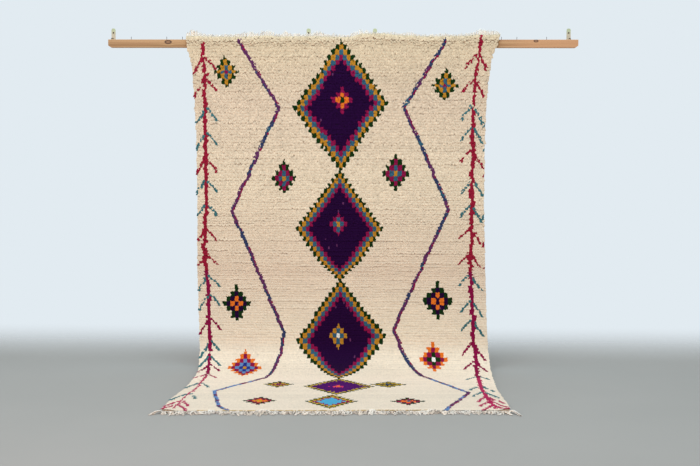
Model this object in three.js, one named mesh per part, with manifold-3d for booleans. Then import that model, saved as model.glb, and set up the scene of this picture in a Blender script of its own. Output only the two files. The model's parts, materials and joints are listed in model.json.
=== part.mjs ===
// Azilal rug hung on a wooden rail, in millimetres.
// +X is to the right as seen from the front, +Y points to the back and +Z is up.
// The origin is the middle of the rail's back face.
import * as THREE from "three";
import { mergeVertices } from "three/addons/utils/BufferGeometryUtils.js";
import Module from "manifold-3d";

const wasm = await Module();
wasm.setup();

// Driving sizes
const GAP = 0.3; // between two pieces that touch
const RAIL = { length: 2400, height: 41, depth: 28, arris: 1.5, aboveFloor: 1696 };
const RAIL_CORNER = { along: 15, up: 10 }; // cut off the lower corner at each end
const TOP = RAIL.height / 2; // the rail's upper face
const FLOOR = TOP - RAIL.aboveFloor;
const BRACKET = { width: 21, upright: 58, foot: 22, thick: 2.5, corner: 9, holeRadius: 2.4 };
const BRACKET_HOLE = { up: 36, out: 12.5 }; // above the rail, and out from its back face
const SCREW = { shank: 1.9, reach: 18, sides: 10 };
const SMALL_HEAD = { radius: 4.2, dome: 1.9 };
const LARGE_HEAD = { radius: 7.5, dome: 5.5 };
const BRACKETS = [
  { place: "left_end", x: -1178, footHead: LARGE_HEAD, aside: -4 },
  { place: "left_middle", x: -172, footHead: SMALL_HEAD, aside: 0 },
  { place: "right_middle", x: 168, footHead: SMALL_HEAD, aside: 0 },
  { place: "right_end", x: 1154, footHead: LARGE_HEAD, aside: 4 },
];
const NAIL = { radius: 1.2, below: 20, point: 2.5, out: 17, sides: 6 };
const HEM_NAILS = { first: -735, last: 735, count: 20, above: 13 }; // an even row, hidden in the rug's hem
const BARE_NAILS = { at: [-1083, -900, -819, 812, 890, 1041], above: 16 }; // those beside the rug

// The rug is one thick pile cloth. Its path runs along its back, from the rail to its lying end.
const RUG = { thick: 13, columns: 38 };
const HEM = { start: 10, bend: 5, clear: 2.5 };
const HANG = { out: RAIL.depth + HEM.clear };
const BEND = { height: 150, touch: 285, pull: 0.6 }; // where it leaves the vertical, and lies flat
const REACH = 1070; // from the rail's back face to the lying end, at the rug's middle
const ROWS = { hem: 2, over: 4, hang: 20, bend: 12, lying: 10 }; // steps along each stretch of the path

// Side edges of the rug, as distances from its middle line, at places along its path
const EDGES = [
  { along: 0, left: 797, right: 806 },
  { along: 60, left: 791, right: 786 },
  { along: 80, left: 786, right: 770 },
  { along: 110, left: 775, right: 760 },
  { along: 150, left: 764, right: 754 },
  { along: 230, left: 762, right: 744 },
  { along: 330, left: 753, right: 735 },
  { along: 500, left: 745, right: 730 },
  { along: 850, left: 741, right: 728 },
  { along: 1150, left: 743, right: 737 },
  { along: 1450, left: 736, right: 748 },
  { along: 1650, left: 729, right: 760 },
  { along: 1800, left: 716, right: 763 },
  { along: 1950, left: 711, right: 758 },
  { along: 2200, left: 714, right: 754 },
  { along: 2420, left: 736, right: 763 },
  { along: 2550, left: 738, right: 770 },
  { along: 2700, left: 732, right: 766 },
];
// How far the lying end goes past REACH, across the rug
const FRONT = [
  { across: -730, past: 32 },
  { across: -350, past: 18 },
  { across: 0, past: 0 },
  { across: 300, past: -18 },
  { across: 640, past: -38 },
  { across: 760, past: -36 },
];
// How high the hem stands on the rail, across the rug: its nails hold it down unevenly
const LIFT = [
  { across: -800, lift: 8 },
  { across: -740, lift: 8 },
  { across: -690, lift: 5 },
  { across: -600, lift: 4 },
  { across: -450, lift: 5 },
  { across: -405, lift: 10 },
  { across: -375, lift: 10 },
  { across: -330, lift: 5 },
  { across: -240, lift: 6 },
  { across: -100, lift: 6.5 },
  { across: -60, lift: 4 },
  { across: 40, lift: 2.5 },
  { across: 60, lift: 7 },
  { across: 100, lift: 20 },
  { across: 215, lift: 20 },
  { across: 285, lift: 11.5 },
  { across: 355, lift: 11 },
  { across: 400, lift: 6.5 },
  { across: 470, lift: 5.5 },
  { across: 640, lift: 8.5 },
  { across: 680, lift: 15 },
  { across: 745, lift: 13 },
  { across: 800, lift: 16 },
];
// Soft swells of the hanging cloth, always to the front
const SWELLS = [
  { height: 5, width: 620, lean: 0.16, shift: 0.4 },
  { height: 3, width: 340, lean: -0.1, shift: 2.1 },
];
const SWELL_FROM = 90;
const SWELL_FULL = 700;

// Fringes: thin strips of weave with locks of warp and pile
const TOP_STRIP = { thick: 3.6, height: 9, columns: 40 };
const TOP_LOCKS = { count: 118, width: 4.2, thick: 2.8, sunk: 3, shortest: 8, longest: 23, lean: 5 };
const FLOOR_STRIP = { depth: 9, height: 6.5, columns: 40 };
const FLOOR_LOCKS = { count: 128, width: 7.6, height: 4.6, tip: 0.45, sunk: 4, shortest: 36, longest: 78 };
const FLOOR_SWAY = { reach: 9, waves: [5, 13] };
const TAILS = [
  { side: -1, out: 56, forward: 62, width: 17, height: 9 },
  { side: 1, out: 54, forward: 84, width: 16, height: 9 },
];

const LOOKS = {
  wool: { color: 0xe9dcc4, roughness: 0.95, metalness: 0 },
  warp: { color: 0xe6d8cb, roughness: 0.95, metalness: 0 },
  pine: { color: 0xc8976b, roughness: 0.6, metalness: 0 },
  brass: { color: 0xcdbb86, roughness: 0.4, metalness: 0.8 },
  steel: { color: 0x4b4742, roughness: 0.45, metalness: 0.8 },
};

const rug = new THREE.Group();

function addPiece(name, geometry, look) {
  const mesh = new THREE.Mesh(geometry, new THREE.MeshStandardMaterial(LOOKS[look]));
  mesh.name = name;
  rug.add(mesh);
  return mesh;
}

// Solids to and from manifold-3d, which only joins and cuts
function toSolid(geometry) {
  const bare = geometry.clone();
  bare.deleteAttribute("normal");
  bare.deleteAttribute("uv");
  const merged = mergeVertices(bare, 1e-4);
  return new wasm.Manifold(
    new wasm.Mesh({
      numProp: 3,
      vertProperties: new Float32Array(merged.attributes.position.array),
      triVerts: new Uint32Array(merged.index.array),
    }),
  );
}

function toGeometry(solid) {
  const mesh = solid.getMesh();
  const geometry = new THREE.BufferGeometry();
  geometry.setAttribute("position", new THREE.BufferAttribute(mesh.vertProperties, mesh.numProp));
  geometry.setIndex(new THREE.BufferAttribute(mesh.triVerts, 1));
  return geometry;
}

function join(geometries) {
  return toGeometry(wasm.Manifold.union(geometries.map(toSolid)));
}

function cut(geometry, tools) {
  return toGeometry(toSolid(geometry).subtract(wasm.Manifold.union(tools.map(toSolid))));
}

// A closed slab over a grid of points: pointAt(column, row, side) gives its under (0) and upper side (1)
function slab(columns, rows, pointAt) {
  const points = [];
  const faces = [];
  const at = (i, j, side) => (side * (rows + 1) + j) * (columns + 1) + i;
  for (const side of [0, 1]) {
    for (let j = 0; j <= rows; j++) {
      for (let i = 0; i <= columns; i++) points.push(...pointAt(i, j, side).toArray());
    }
  }
  const quad = (a, b, c, d) => faces.push(a, b, c, a, c, d);
  for (let j = 0; j < rows; j++) {
    for (let i = 0; i < columns; i++) {
      quad(at(i, j, 1), at(i + 1, j, 1), at(i + 1, j + 1, 1), at(i, j + 1, 1));
      quad(at(i, j, 0), at(i, j + 1, 0), at(i + 1, j + 1, 0), at(i + 1, j, 0));
    }
    quad(at(0, j, 0), at(0, j, 1), at(0, j + 1, 1), at(0, j + 1, 0));
    quad(at(columns, j, 1), at(columns, j, 0), at(columns, j + 1, 0), at(columns, j + 1, 1));
  }
  for (let i = 0; i < columns; i++) {
    quad(at(i, 0, 0), at(i + 1, 0, 0), at(i + 1, 0, 1), at(i, 0, 1));
    quad(at(i, rows, 1), at(i + 1, rows, 1), at(i + 1, rows, 0), at(i, rows, 0));
  }
  const geometry = new THREE.BufferGeometry();
  geometry.setAttribute("position", new THREE.Float32BufferAttribute(points, 3));
  geometry.setIndex(faces);
  return geometry;
}

// Reads one column of a table at a place along another, in straight steps
function read(table, key, place, column) {
  const next = table.findIndex((row) => row[key] > place);
  if (next === 0) return table[0][column];
  if (next < 0) return table.at(-1)[column];
  const [a, b] = [table[next - 1], table[next]];
  return THREE.MathUtils.mapLinear(place, a[key], b[key], a[column], b[column]);
}

// A fixed value from 0 to 1 for each whole number, so that locks differ
function vary(n, salt) {
  const x = Math.sin(n * 12.9898 + salt * 78.233) * 43758.5453;
  return x - Math.floor(x);
}

// The rug's path, seen from its side: x is out from the rail's back face, y is up
function makePath() {
  const path = new THREE.Path();
  path.moveTo(HEM.start, TOP);
  path.lineTo(HANG.out - HEM.bend, TOP);
  path.absarc(HANG.out - HEM.bend, TOP - HEM.bend, HEM.bend, Math.PI / 2, 0, true);
  path.lineTo(HANG.out, FLOOR + BEND.height);
  path.bezierCurveTo(
    HANG.out,
    FLOOR + BEND.height * (1 - BEND.pull),
    BEND.touch - (BEND.touch - HANG.out) * BEND.pull,
    FLOOR,
    BEND.touch,
    FLOOR,
  );
  path.lineTo(REACH, FLOOR);
  return path;
}

const path = makePath();
const PATH_LENGTH = path.getLength();

// Places along the path, the finer ones where it turns
function makePlaces() {
  const places = [0];
  Object.values(ROWS).forEach((steps, n) => {
    const start = places.at(-1);
    const length = path.curves[n].getLength();
    for (let k = 1; k <= steps; k++) places.push(start + (length * k) / steps);
  });
  return places;
}

const places = makePlaces();
const LYING_FROM = places.at(-1) - path.curves.at(-1).getLength();

function swellAt(across, along) {
  const full = THREE.MathUtils.smoothstep(along, SWELL_FROM, SWELL_FULL);
  const fade = 1 - THREE.MathUtils.smoothstep(along, LYING_FROM - BEND.touch, LYING_FROM);
  const turn = (swell) => (2 * Math.PI * (across + swell.lean * along)) / swell.width + swell.shift;
  return SWELLS.reduce((sum, s) => sum + s.height * (0.5 + 0.5 * Math.sin(turn(s))), 0) * full * fade;
}

// A point of the rug: side runs from -1 (left edge) to 1 (right edge), and height is above the rug's back
function rugPoint(side, along, height) {
  const edge = side < 0 ? -read(EDGES, "along", along, "left") : read(EDGES, "along", along, "right");
  const across = Math.abs(side) * edge;
  const past = read(FRONT, "across", across, "past");
  const lying = THREE.MathUtils.clamp((along - LYING_FROM) / (PATH_LENGTH - LYING_FROM), 0, 1);
  const t = along / PATH_LENGTH;
  const spot = path.getPoint(t);
  const tangent = path.getTangent(t);
  const turn = path.curves[0].getLength() + path.curves[1].getLength();
  const raised = 1 - THREE.MathUtils.smoothstep(along, turn, turn + RAIL.height * 2);
  const lift = read(LIFT, "across", across, "lift") * raised;
  const off = height + swellAt(across, along);
  const out = spot.x + past * lying - tangent.y * off;
  return new THREE.Vector3(across, -out, spot.y + lift + tangent.x * off);
}

function makeRug() {
  const sideAt = (i) => (2 * i) / RUG.columns - 1;
  const cloth = slab(RUG.columns, places.length - 1, (i, j, side) =>
    rugPoint(-sideAt(i), places[j], side * RUG.thick),
  );
  return cut(cloth, hemNails().map((x) => nailPin(x, HEM_NAILS.above, GAP)));
}

// Locks are slabs of one column that taper from root to tip, over stations of { at, half, under, upper }
function lock(stations) {
  return slab(1, stations.length - 1, (i, j, side) => {
    const station = stations[j];
    const point = station.at.clone().addScaledVector(station.half, i === 0 ? 1 : -1);
    return point.add(side ? station.upper : station.under);
  });
}

// The stubs of warp along the rug's end on the rail
function makeTopFringe() {
  const back = HEM.start - GAP;
  const liftAt = (x) => TOP + read(LIFT, "across", x, "lift");
  const [left, right] = [-EDGES[0].left, EDGES[0].right];
  const strip = slab(TOP_STRIP.columns, 1, (i, j, side) => {
    const x = THREE.MathUtils.lerp(right, left, i / TOP_STRIP.columns);
    return new THREE.Vector3(x, -(back - TOP_STRIP.thick * (1 - j)), liftAt(x) + side * TOP_STRIP.height);
  });
  const pitch = (right - left) / TOP_LOCKS.count;
  const room = (TOP_STRIP.thick - TOP_LOCKS.thick) / 2;
  const stubs = Array.from({ length: TOP_LOCKS.count }, (_, n) => {
    const x = left + pitch * (n + 0.5);
    const clump = 0.5 + 0.5 * Math.sin(n * 0.7) * Math.sin(n * 0.23 + 1);
    const tall = THREE.MathUtils.lerp(TOP_LOCKS.shortest, TOP_LOCKS.longest, clump * vary(n, 1));
    const root = liftAt(x) + TOP_STRIP.height - TOP_LOCKS.sunk;
    const lean = (vary(n, 2) - 0.5) * TOP_LOCKS.lean;
    const near = new THREE.Vector3(0, -(back - room), 0);
    const far = new THREE.Vector3(0, -(back - room - TOP_LOCKS.thick), 0);
    const half = new THREE.Vector3(TOP_LOCKS.width / 2, 0, 0);
    return lock([
      { at: new THREE.Vector3(x, 0, root), half, under: near, upper: far },
      {
        at: new THREE.Vector3(x + lean, 0, root + TOP_LOCKS.sunk + tall),
        half: half.clone().multiplyScalar(0.5),
        under: near,
        upper: far,
      },
    ]);
  });
  return join([strip, ...stubs]);
}

// The fringe in front of the rug's lying end, with a long tail at each corner
function makeFloorFringe() {
  const frontAt = (x) => -(REACH + read(FRONT, "across", x, "past") + GAP);
  const [left, right] = [-EDGES.at(-1).left, EDGES.at(-1).right];
  const strip = slab(FLOOR_STRIP.columns, 1, (i, j, side) => {
    const x = THREE.MathUtils.lerp(right, left, i / FLOOR_STRIP.columns);
    return new THREE.Vector3(x, frontAt(x) - j * FLOOR_STRIP.depth, FLOOR + side * FLOOR_STRIP.height);
  });
  const level = new THREE.Vector3(0, 0, 0);
  const high = (z) => new THREE.Vector3(0, 0, z);
  const pitch = (right - left) / FLOOR_LOCKS.count;
  const turn = (n) => (2 * Math.PI * n) / FLOOR_LOCKS.count;
  const sway = (n) => FLOOR_SWAY.waves.reduce((sum, w, k) => sum + Math.sin(turn(n) * w + k), 0);
  const locks = Array.from({ length: FLOOR_LOCKS.count }, (_, n) => {
    const x = left + pitch * (n + 0.5);
    const root = frontAt(x) - FLOOR_STRIP.depth + FLOOR_LOCKS.sunk;
    const long = THREE.MathUtils.lerp(FLOOR_LOCKS.shortest, FLOOR_LOCKS.longest, vary(n, 3));
    const side = (sway(n) * FLOOR_SWAY.reach) / 2;
    const half = new THREE.Vector3(FLOOR_LOCKS.width / 2, 0, 0);
    const station = (share, wide, tall) => ({
      at: new THREE.Vector3(x + side * share * share, root - long * share, FLOOR),
      half: half.clone().multiplyScalar(wide),
      under: level,
      upper: high(FLOOR_LOCKS.height * tall),
    });
    return lock([station(0, 1, 1), station(0.6, 0.85, 0.9), station(1, FLOOR_LOCKS.tip, FLOOR_LOCKS.tip)]);
  });
  const tails = TAILS.map((tail) => {
    const x = tail.side < 0 ? left + tail.width / 2 : right - tail.width / 2;
    const root = new THREE.Vector3(x, frontAt(x) - FLOOR_LOCKS.sunk / 2, FLOOR);
    const run = new THREE.Vector3(tail.side * tail.out, -tail.forward, 0);
    const half = new THREE.Vector3(-run.y, run.x, 0).setLength(tail.width / 2);
    const station = (share, wide, tall) => ({
      at: root.clone().addScaledVector(run, share),
      half: half.clone().multiplyScalar(wide),
      under: level,
      upper: high(tall),
    });
    return lock([
      station(0.1, 1, tail.height * 0.7),
      station(0.45, 1, tail.height),
      station(0.8, 0.7, tail.height * 0.7),
      station(1, 0.25, 3),
    ]);
  });
  return join([strip, ...locks, ...tails]);
}

// An upright round pin on the rail at x; wider by spare it is the tool that cuts its hole
function nailPin(x, above, spare) {
  const { radius, below, point, out, sides } = NAIL;
  const profile = [
    new THREE.Vector2(0, -below - spare),
    new THREE.Vector2(radius + spare, -below - spare),
    new THREE.Vector2(radius + spare, above - point + spare),
    new THREE.Vector2(0, above + spare),
  ];
  const pin = new THREE.LatheGeometry(profile, sides).rotateX(Math.PI / 2);
  return pin.translate(x, -out, TOP);
}

function hemNails() {
  const { first, last, count } = HEM_NAILS;
  return Array.from({ length: count }, (_, n) => THREE.MathUtils.lerp(first, last, n / (count - 1)));
}

// A screw along +Z with its head's seat at the origin and its shank below
function screw(reach, head, spare) {
  const { shank, sides } = SCREW;
  const { radius, dome } = head;
  const profile = [
    new THREE.Vector2(0, -reach - spare),
    new THREE.Vector2(shank + spare, -reach - spare),
    new THREE.Vector2(shank + spare, 0),
    new THREE.Vector2(radius, 0),
    new THREE.Vector2(radius * 0.8, dome * 0.7),
    new THREE.Vector2(radius * 0.35, dome),
    new THREE.Vector2(0, dome),
  ];
  return new THREE.LatheGeometry(profile, sides).rotateX(Math.PI / 2);
}

function footScrew({ x, footHead, aside }, spare) {
  const seat = TOP + BRACKET.thick + 2 * GAP;
  return screw(SCREW.reach, footHead, spare).translate(x + aside, -BRACKET_HOLE.out, seat);
}

function wallScrew({ x }) {
  return screw(BRACKET.thick, SMALL_HEAD, 0)
    .rotateX(Math.PI / 2)
    .translate(x, -BRACKET.thick - GAP, TOP + BRACKET_HOLE.up);
}

// A plate with two round corners and a hole at holeAt, flat in XY, standing on y = 0
function plate(width, height, corner, holeAt) {
  const half = width / 2;
  const outline = new THREE.Shape();
  outline.moveTo(-half, 0);
  outline.lineTo(half, 0);
  outline.lineTo(half, height - corner);
  outline.absarc(half - corner, height - corner, corner, 0, Math.PI / 2, false);
  outline.lineTo(-half + corner, height);
  outline.absarc(-half + corner, height - corner, corner, Math.PI / 2, Math.PI, false);
  outline.closePath();
  const hole = new THREE.Path().absarc(...holeAt, BRACKET.holeRadius, 0, 2 * Math.PI, true);
  outline.holes.push(hole);
  const sheet = { depth: BRACKET.thick, bevelEnabled: false, curveSegments: 5 };
  return new THREE.ExtrudeGeometry(outline, sheet);
}

function makeBracket({ x, aside }) {
  const { width, upright, foot, thick, corner } = BRACKET;
  const standing = plate(width, upright, corner, [0, BRACKET_HOLE.up - GAP]).rotateX(Math.PI / 2);
  const lying = plate(width, foot, corner, [aside, BRACKET_HOLE.out]).rotateX(Math.PI);
  lying.translate(0, 0, thick);
  return join([standing, lying]).translate(x, 0, TOP + GAP);
}

// The wedge that comes off the rail's lower corner at its left (-1) or right (1) end
function cornerWedge(side) {
  const { length, height, depth } = RAIL;
  const end = new THREE.Vector2((side * length) / 2, -height / 2);
  const run = new THREE.Vector2(side * RAIL_CORNER.along, RAIL_CORNER.up);
  const wedge = new THREE.Shape([
    new THREE.Vector2(end.x - 2 * run.x, end.y - run.y),
    new THREE.Vector2(end.x + run.x, end.y + 2 * run.y),
    new THREE.Vector2(end.x + run.x, end.y - run.y),
  ]);
  const block = new THREE.ExtrudeGeometry(wedge, { depth: 2 * depth, bevelEnabled: false });
  return block.rotateX(Math.PI / 2).translate(0, depth / 2, 0);
}

function makeRail() {
  const { length, height, depth, arris } = RAIL;
  const section = new THREE.Shape();
  section.moveTo(0, -height / 2);
  section.lineTo(depth - arris, -height / 2);
  section.lineTo(depth, -height / 2 + arris);
  section.lineTo(depth, height / 2 - arris);
  section.lineTo(depth - arris, height / 2);
  section.lineTo(0, height / 2);
  section.closePath();
  const bar = new THREE.ExtrudeGeometry(section, { depth: length, bevelEnabled: false });
  bar.translate(0, 0, -length / 2).applyMatrix4(
    new THREE.Matrix4().makeBasis(
      new THREE.Vector3(0, -1, 0),
      new THREE.Vector3(0, 0, 1),
      new THREE.Vector3(-1, 0, 0),
    ),
  );
  const nailHoles = [...BARE_NAILS.at, ...hemNails()].map((x) => nailPin(x, HEM_NAILS.above, GAP));
  const screwHoles = BRACKETS.map((bracket) => footScrew(bracket, GAP));
  return cut(bar, [...nailHoles, ...screwHoles, cornerWedge(-1), cornerWedge(1)]);
}

addPiece("rug_cloth", makeRug(), "wool");
addPiece("top_fringe", makeTopFringe(), "warp");
addPiece("floor_fringe", makeFloorFringe(), "warp");
addPiece("rail", makeRail(), "pine");
for (const bracket of BRACKETS) {
  addPiece("bracket_" + bracket.place, makeBracket(bracket), "brass");
  addPiece("wall_screw_" + bracket.place, wallScrew(bracket), "steel");
  addPiece("foot_screw_" + bracket.place, footScrew(bracket, 0), "steel");
}
BARE_NAILS.at.forEach((x, n) => {
  addPiece("bare_nail_" + (n + 1), nailPin(x, BARE_NAILS.above, 0), "steel");
});
hemNails().forEach((x, n) => {
  addPiece("hem_nail_" + (n + 1), nailPin(x, HEM_NAILS.above, 0), "steel");
});

export default rug;
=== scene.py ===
# %% [markdown]
# # A knotted wool rug that hangs on a wooden rail
#
# The real rug is one thick cloth: rows of wool knots tied on warps, with a short pile that
# leans towards the far end. It is nailed to a pine rail by its hem, hangs down, bends forward
# and ends on the floor in a short fringe.
#
# The solids of the rail, its brackets, screws and nails are loaded as a fixed frame, and this
# script adds what a solid can't show: every knot of the pile in its own dye, the woven
# ground, the loose ends of the fringes and the finish of each surface. All sizes are metres.

# %% The frame
import json

import bpy
import numpy as np
from mathutils import Matrix, Vector


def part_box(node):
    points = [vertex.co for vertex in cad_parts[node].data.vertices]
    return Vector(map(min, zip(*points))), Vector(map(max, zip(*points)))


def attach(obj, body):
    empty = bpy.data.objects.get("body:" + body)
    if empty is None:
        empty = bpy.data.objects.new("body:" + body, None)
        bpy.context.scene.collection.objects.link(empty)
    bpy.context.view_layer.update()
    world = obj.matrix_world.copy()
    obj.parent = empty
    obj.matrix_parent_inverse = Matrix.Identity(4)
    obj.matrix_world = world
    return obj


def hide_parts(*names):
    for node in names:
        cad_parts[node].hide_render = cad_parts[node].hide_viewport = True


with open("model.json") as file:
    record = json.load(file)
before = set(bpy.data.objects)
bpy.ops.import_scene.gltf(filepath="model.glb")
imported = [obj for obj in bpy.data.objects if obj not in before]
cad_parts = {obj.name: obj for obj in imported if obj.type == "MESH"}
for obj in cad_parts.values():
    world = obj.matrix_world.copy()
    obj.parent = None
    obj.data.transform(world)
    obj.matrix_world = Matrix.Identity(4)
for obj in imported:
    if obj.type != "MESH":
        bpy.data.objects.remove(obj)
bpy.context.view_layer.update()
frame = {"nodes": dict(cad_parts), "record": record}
scene = bpy.context.scene

# %% [markdown]
# ## Where the eye stands
#
# A camera can be aimed with a constraint, by hand, or by a matrix. A matrix is chosen here,
# because the view is known as three small turns (pitch, yaw and roll) and a place, which
# makes the rail and the rug's outline fall where they should. The long lens keeps the rug's
# two sides almost parallel.

# %% The camera
EYE = Vector((0.213, -6.077, -0.5665))
PITCH, YAW, ROLL = np.radians((3.8, 1.6, 0.18))
LENS, SENSOR = 60.5, 36.0
NEAREST, FARTHEST = 0.1, 100

camera_data = bpy.data.cameras.new("camera")
camera_data.lens = LENS
camera_data.sensor_width = SENSOR
camera_data.clip_start, camera_data.clip_end = NEAREST, FARTHEST
camera = bpy.data.objects.new("camera", camera_data)
# A new camera looks down: the roll comes first, then the tilt up to the horizon, then the yaw
roll, tilt = Matrix.Rotation(ROLL, 4, "Z"), Matrix.Rotation(np.pi / 2 - PITCH, 4, "X")
camera.matrix_world = Matrix.Translation(EYE) @ Matrix.Rotation(YAW, 4, "Z") @ tilt @ roll
scene.collection.objects.link(camera)
scene.camera = camera
print("camera", camera.location[:])

# %% [markdown]
# ## Small helpers
#
# Thousands of knots are far too many for one object each. They are worked out together as
# numpy arrays and become a few joined meshes, which loads fast and keeps the scene light.
# `make_piece` turns arrays of points and faces into an object that rides on the body "root".
# `table` holds rows of values under named columns, `read` finds a value between two rows,
# `hump` is a soft bump, and `drift` gives soft, repeatable waviness.


# %% Meshes from arrays
def make_piece(name, points, face_groups, finish):
    """A smooth mesh object from points (n, 3) and arrays of faces, each (m, corners)."""
    mesh = bpy.data.meshes.new(name)
    corners = np.concatenate([group.ravel() for group in face_groups])
    sizes = np.concatenate([np.full(len(group), group.shape[1]) for group in face_groups])
    mesh.vertices.add(len(points))
    mesh.vertices.foreach_set("co", np.asarray(points, np.float32).ravel())
    mesh.loops.add(len(corners))
    mesh.loops.foreach_set("vertex_index", corners.astype(np.int32))
    mesh.polygons.add(len(sizes))
    mesh.polygons.foreach_set("loop_start", (np.cumsum(sizes) - sizes).astype(np.int32))
    mesh.update(calc_edges=True)
    mesh.shade_smooth()
    mesh.materials.append(finish)
    piece = bpy.data.objects.new(name, mesh)
    scene.collection.objects.link(piece)
    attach(piece, "root")
    print(name, "points", len(points), "triangles", int((sizes - 2).sum()))
    return piece


def store(piece, name, domain, values):
    """Keeps a number or a colour for each point or face, under a name that a finish can read."""
    kind, field = ("FLOAT", "value") if values.ndim == 1 else ("FLOAT_COLOR", "color")
    if kind == "FLOAT_COLOR":
        values = np.concatenate([values, np.ones((len(values), 1))], axis=1)
    attribute = piece.data.attributes.new(name, kind, domain)
    attribute.data.foreach_set(field, values.astype(np.float32).ravel())


def store_map(piece, name, flat):
    """Keeps a flat place for each point, as a map that each corner of a face takes part in."""
    corner_points = np.empty(len(piece.data.loops), np.int32)
    piece.data.loops.foreach_get("vertex_index", corner_points)
    layer = piece.data.uv_layers.new(name=name)
    layer.data.foreach_set("uv", flat[corner_points].astype(np.float32).ravel())


# %% Tables and soft variation
def table(columns, *rows):
    """Rows of values as dictionaries, by the names of their columns."""
    return [dict(zip(columns.split(), row)) for row in rows]


def read(rows, place, column):
    """A column at a place along the table's first column, in straight steps from row to row."""
    first = next(iter(rows[0]))
    return np.interp(place, [row[first] for row in rows], [row[column] for row in rows])


def smooth_step(value, low, high):
    t = np.clip((value - low) / (high - low), 0, 1)
    return t * t * (3 - 2 * t)


def hump(away, half):
    """1 in the middle, down to a third at half, and soon nothing."""
    return np.exp(-((away / half) ** 2))


def drift(count, step, seed):
    """Soft random values from -1 to 1 that change every few places."""
    knots = np.random.default_rng(seed).uniform(-1, 1, int(count / step) + 3)
    places = np.arange(count) / step
    low = places.astype(int)
    share = smooth_step(places - low, 0, 1)
    return knots[low] * (1 - share) + knots[low + 1] * share


# %% [markdown]
# ## The way the cloth lies
#
# A cloth simulation would guess how the rug falls. Here its lie is known: flat over the
# rail's top, straight down, one wide bend and flat on the floor. So a path is drawn in the
# plane across the rail, and every point of the rug is a place (across, along, height) that
# is carried onto that path. A knot, a hem or a whole side edge all use this one function,
# so nothing can come loose from the cloth.

# %% The path of the rug's back
RAIL_LOW, RAIL_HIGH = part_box("rail")
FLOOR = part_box("rug_cloth")[0].z
RAIL_TOP = RAIL_HIGH.z
RAIL_HEIGHT = RAIL_HIGH.z - RAIL_LOW.z
HEM_OUT, HEM_RADIUS, HEM_STEPS = 0.010, 0.005, 13
HANG_OUT = 0.0025 - RAIL_LOW.y
BEND_HEIGHT, BEND_TOUCH, BEND_PULL, BEND_STEPS = 0.150, 0.285, 0.6, 120
REACH = 1.070
SPARE = 0.060


def draw_path():
    """Points (out from the rail's back, up) along the rug's back, close together."""
    turn = np.linspace(np.pi / 2, 0, HEM_STEPS)
    round_hem = np.stack([
        HANG_OUT - HEM_RADIUS + HEM_RADIUS * np.cos(turn),
        RAIL_TOP - HEM_RADIUS + HEM_RADIUS * np.sin(turn),
    ], axis=1)
    t = np.linspace(0, 1, BEND_STEPS)[:, None]
    start, start_pull, end_pull, end = np.array([
        (HANG_OUT, FLOOR + BEND_HEIGHT),
        (HANG_OUT, FLOOR + BEND_HEIGHT * (1 - BEND_PULL)),
        (BEND_TOUCH - (BEND_TOUCH - HANG_OUT) * BEND_PULL, FLOOR),
        (BEND_TOUCH, FLOOR),
    ])
    bend = start * (1 - t) ** 3 + end * t**3
    bend += 3 * t * (1 - t) * (start_pull * (1 - t) + end_pull * t)
    return np.concatenate([[(HEM_OUT, RAIL_TOP)], round_hem, bend, [(REACH + SPARE, FLOOR)]])


PATH = draw_path()
PATH_ALONG = np.concatenate([[0], np.cumsum(np.hypot(*np.diff(PATH, axis=0).T))])
RUG_LENGTH = PATH_ALONG[-1] - SPARE
LYING_FROM = RUG_LENGTH - (REACH - BEND_TOUCH)
HEM_END = HANG_OUT - HEM_RADIUS - HEM_OUT + HEM_RADIUS * np.pi / 2
print("length along the back", round(float(RUG_LENGTH), 4), "lying from", round(float(LYING_FROM), 4))

# %% [markdown]
# The sides of a hand-knotted rug are never straight. Three short tables hold the rug's own
# unevenness: its side edges, how far its end on the floor runs out of square, and how high
# the hem stands on the nails. Two long, low waves let the hanging cloth swell a little, a few
# creases run aslant, and two corners of the lying end curl up.

# %% Edges and lift
EDGES = table(
    "along left right",
    (0.000, 0.797, 0.806), (0.060, 0.791, 0.786), (0.080, 0.786, 0.770), (0.110, 0.775, 0.760),
    (0.150, 0.764, 0.754), (0.230, 0.762, 0.744), (0.330, 0.753, 0.735), (0.500, 0.745, 0.730),
    (0.850, 0.741, 0.728), (1.150, 0.743, 0.737), (1.450, 0.736, 0.748), (1.650, 0.729, 0.760),
    (1.800, 0.716, 0.763), (1.950, 0.711, 0.758), (2.200, 0.714, 0.754), (2.420, 0.736, 0.763),
    (2.550, 0.738, 0.770), (2.700, 0.732, 0.766),
)
FRONT = table(
    "across past",
    (-0.730, 0.032), (-0.350, 0.018), (0.000, 0.000), (0.300, -0.018), (0.640, -0.038),
    (0.760, -0.036),
)
LIFT = table(
    "across lift",
    (-0.800, 0.0080), (-0.740, 0.0080), (-0.690, 0.0050), (-0.600, 0.0040), (-0.450, 0.0050),
    (-0.405, 0.0100), (-0.375, 0.0100), (-0.330, 0.0050), (-0.240, 0.0060), (-0.100, 0.0065),
    (-0.060, 0.0040), (0.040, 0.0025), (0.060, 0.0070), (0.100, 0.0200), (0.215, 0.0200),
    (0.285, 0.0115), (0.355, 0.0110), (0.400, 0.0065), (0.470, 0.0055), (0.640, 0.0085),
    (0.680, 0.0150), (0.745, 0.0130), (0.800, 0.0160),
)
print("edge places", len(EDGES), "hem places", len(LIFT))

# %% Swells, creases and curls
SWELLS = table(
    "height width lean shift",
    (0.005, 0.620, 0.16, 0.4), (0.003, 0.340, -0.10, 2.1),
)
SWELL_FROM, SWELL_FULL = 0.090, 0.700
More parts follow.
